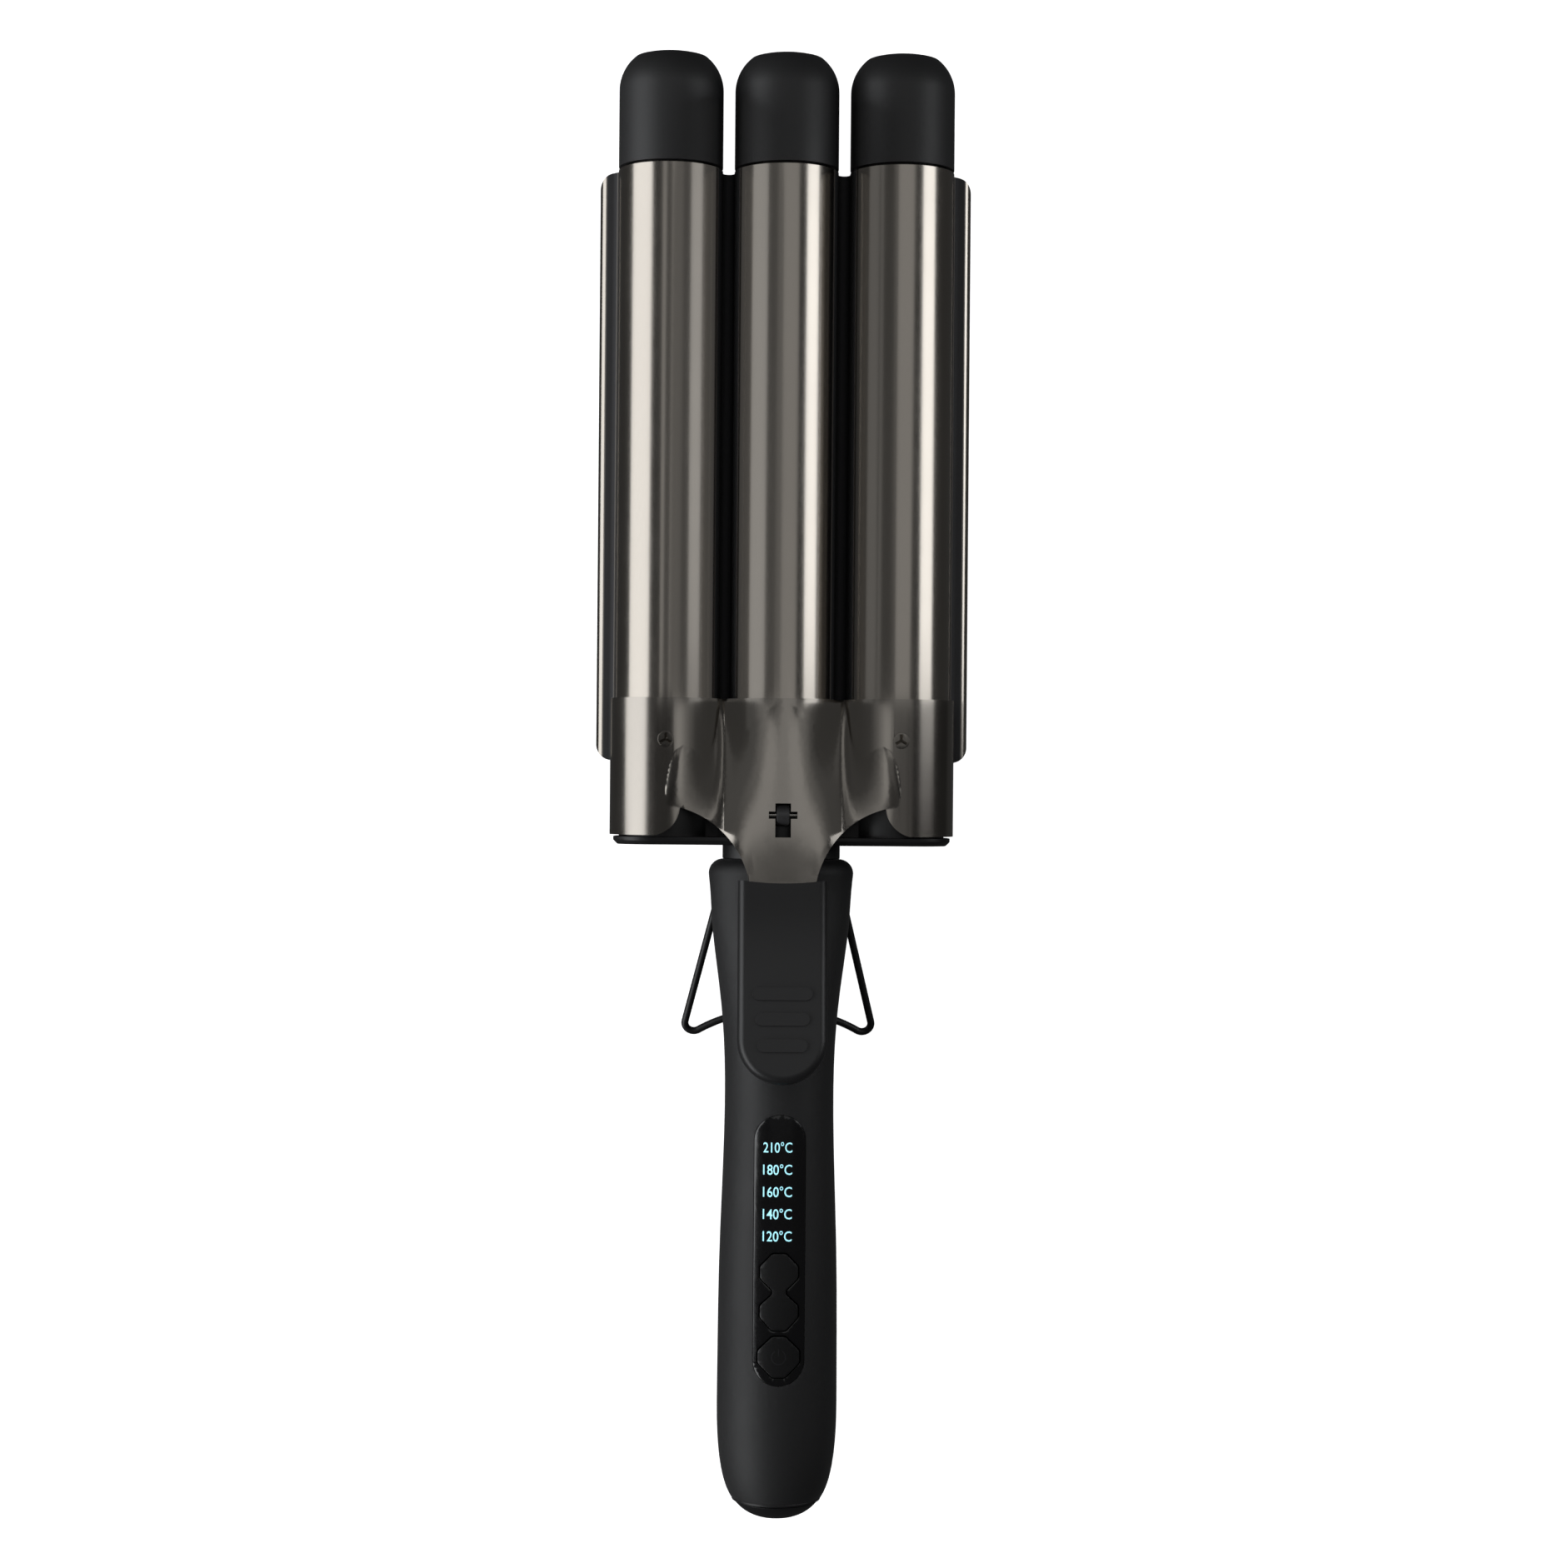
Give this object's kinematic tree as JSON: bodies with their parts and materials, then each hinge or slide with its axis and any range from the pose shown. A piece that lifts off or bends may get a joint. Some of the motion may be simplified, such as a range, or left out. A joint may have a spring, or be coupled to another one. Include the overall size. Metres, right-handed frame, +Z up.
{
  "type": "hair waver",
  "caption": "Hair waver with parallel heated barrels under a corrugated thumb clamp, a panel with buttons on its handle and a folding wire stand.",
  "frame": {"origin": "middle of the bounding box in X and Y, at its lowest point, where the folded stand's feet touch the surface", "axes": "+X across the three barrels, +Y from the handle's butt to the barrel tips, +Z up from the back to the clamp side"},
  "size_m": [0.0902, 0.3532, 0.0453],
  "materials": {
    "polished_gunmetal": "polished dark gunmetal plating on aluminium sheet",
    "barrel_coating": "dark ceramic coating on an aluminium tube",
    "spreader_aluminium": "extruded aluminium, uncoated",
    "heater_ceramic": "fired alumina",
    "sensor_glass": "glass bead",
    "cap_black": "moulded heat-proof black, satin",
    "housing_black": "moulded heat-proof black, satin",
    "lever_black": "moulded black, satin",
    "soft_touch_black": "soft-touch black coating",
    "ring_black": "moulded black, satin",
    "gloss_black": "clear-faced smoked black, high gloss",
    "button_black": "moulded black, semi gloss",
    "stand_black_wire": "black coated steel wire",
    "bright_steel": "bright steel",
    "dark_screw_steel": "blackened steel",
    "board_phenolic": "phenolic board",
    "circuit_board": "green solder mask",
    "switch_plastic": "black switch plastic",
    "display_block": "translucent light guide",
    "lead_insulation": "silicone insulation"
  },
  "bodies": {
    "handset": {"barrel_left": "barrel_coating", "tip_cap_left": "cap_black", "heater_strip_left": "heater_ceramic", "heat_spreader_left": "spreader_aluminium", "barrel_middle": "barrel_coating", "tip_cap_middle": "cap_black", "heater_strip_middle": "heater_ceramic", "heat_spreader_middle": "spreader_aluminium", "barrel_right": "barrel_coating", "tip_cap_right": "cap_black", "heater_strip_right": "heater_ceramic", "heat_spreader_right": "spreader_aluminium", "thermistor": "sensor_glass", "hinge_knuckle": "housing_black", "root_housing_front": "housing_black", "root_housing_back": "housing_black", "housing_screws": "dark_screw_steel", "junction_board": "board_phenolic", "thermal_fuse": "bright_steel", "neck": "housing_black", "lever_spring": "bright_steel", "handle_front": "soft_touch_black", "handle_back": "soft_touch_black", "handle_screws": "dark_screw_steel", "display_lens": "gloss_black", "rocker_brackets": "housing_black", "pcb": "circuit_board", "tact_switches": "switch_plastic", "led_display": "display_block", "lead_terminals": "switch_plastic", "heater_leads": "lead_insulation", "supply_leads": "lead_insulation", "stand_bushings": "housing_black", "end_ring": "ring_black", "slip_ring_board": "board_phenolic"},
    "clamp": {"clamp_plate": "polished_gunmetal", "clamp_yoke": "polished_gunmetal", "clamp_screws": "dark_screw_steel", "thumb_lever": "lever_black", "lever_rivets": "bright_steel", "hinge_pin": "bright_steel"},
    "stand": {"wire_stand": "stand_black_wire"},
    "rocker": {"temperature_rocker": "button_black"},
    "power": {"power_button": "button_black"},
    "swivel": {"cord_swivel": "ring_black", "swivel_clip": "bright_steel"}
  },
  "joints": [
    {"name": "clamp_hinge", "type": "hinge", "parent": "handset", "child": "clamp", "pos_m": [0, -0.0072, 0.03086], "axis": [1, 0, 0], "range_deg": [0, 8], "stiffness_Nm_per_rad": 1, "springref_deg": -20.05, "deforming": ["lever_spring"]},
    {"name": "stand_pivot", "type": "hinge", "parent": "handset", "child": "stand", "pos_m": [0, -0.0298, 0.01226], "axis": [1, 0, 0], "range_deg": [0, 75]},
    {"name": "rocker_tilt", "type": "hinge", "parent": "handset", "child": "rocker", "pos_m": [0, -0.1206, 0.02626], "axis": [1, 0, 0], "range_deg": [-2, 2], "stiffness_Nm_per_rad": 0.3},
    {"name": "power_press", "type": "slide", "parent": "handset", "child": "power", "axis": [0, 0, -1], "range_m": [0, 0.0006], "stiffness_N_per_m": 2000, "springref_m": -0.0005},
    {"name": "swivel_turn", "type": "hinge", "parent": "handset", "child": "swivel", "pos_m": [0, -0.1766, 0.01826], "axis": [0, 1, 0], "continuous": true}
  ]
}
